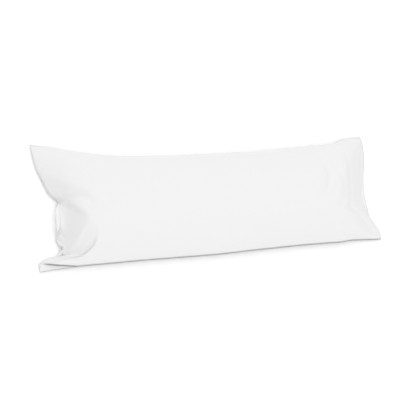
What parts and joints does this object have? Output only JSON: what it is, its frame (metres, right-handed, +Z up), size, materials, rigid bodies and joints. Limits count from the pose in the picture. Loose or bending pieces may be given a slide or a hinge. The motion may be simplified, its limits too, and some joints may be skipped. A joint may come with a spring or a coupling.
{
  "type": "body pillow in a plain case",
  "caption": "Long rectangular filled pillow in a plain white case, open at one end, with drawn-in sides, pointed corners and a slack, creased mouth.",
  "frame": {"origin": "centre of the footprint on the surface it rests on", "axes": "+X along the pillow from the case's open mouth to its closed end, +Y across it to the side that is drawn in most, +Z up out of the face"},
  "size_m": [1.503, 0.526, 0.149],
  "materials": {
    "case_cloth": "matt white woven cotton"
  },
  "bodies": {
    "root": {"pillow": "case_cloth"}
  },
  "joints": []
}
